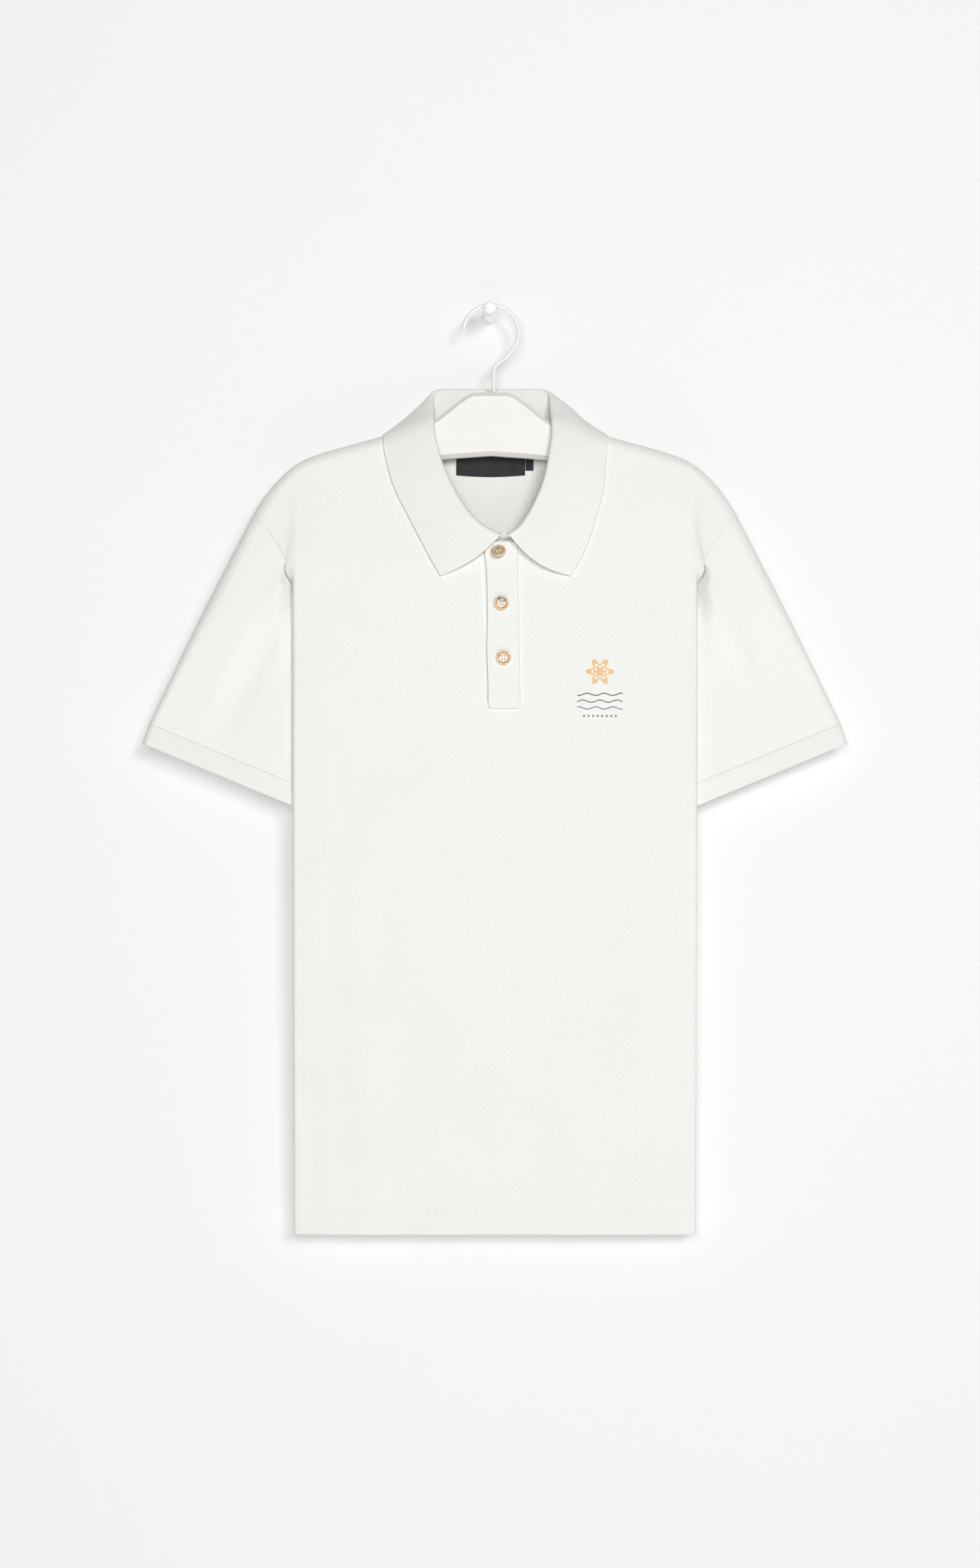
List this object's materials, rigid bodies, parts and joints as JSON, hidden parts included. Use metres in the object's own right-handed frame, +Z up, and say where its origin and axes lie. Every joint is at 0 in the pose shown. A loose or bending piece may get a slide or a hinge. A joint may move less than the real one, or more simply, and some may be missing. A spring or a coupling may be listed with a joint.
{
  "type": "polo shirt on a hanger with a wall peg",
  "caption": "Short-sleeved polo shirt hanging flat on a wooden hanger, its wire hook over a small turned wall peg.",
  "frame": {"origin": "centre of the wall peg's flat back face, on the wall", "axes": "+Z up, +Y into the wall (the shirt faces -Y), +X to the viewer's right"},
  "size_m": [0.6268, 0.0571, 0.8267],
  "materials": {
    "cloth": "white cotton piqué, matt",
    "rib": "white flat-knit rib, matt",
    "button": "polished brown, shell-like",
    "label": "black woven",
    "wood_paint": "white painted, satin",
    "wire_paint": "white painted wire, satin",
    "peg_marble": "white with grey marbling"
  },
  "bodies": {
    "root": {"body_front": "cloth", "body_back": "cloth", "sleeve_left": "cloth", "sleeve_right": "cloth", "cuff_left": "rib", "cuff_right": "rib", "collar": "rib", "placket_upper": "cloth", "placket_under": "cloth", "neck_tape_end": "cloth", "button_1": "button", "button_2": "button", "button_3": "button", "neck_label": "label", "size_tab": "label", "hanger_bar": "wood_paint", "hanger_hook": "wire_paint", "wall_peg": "peg_marble"}
  },
  "joints": []
}
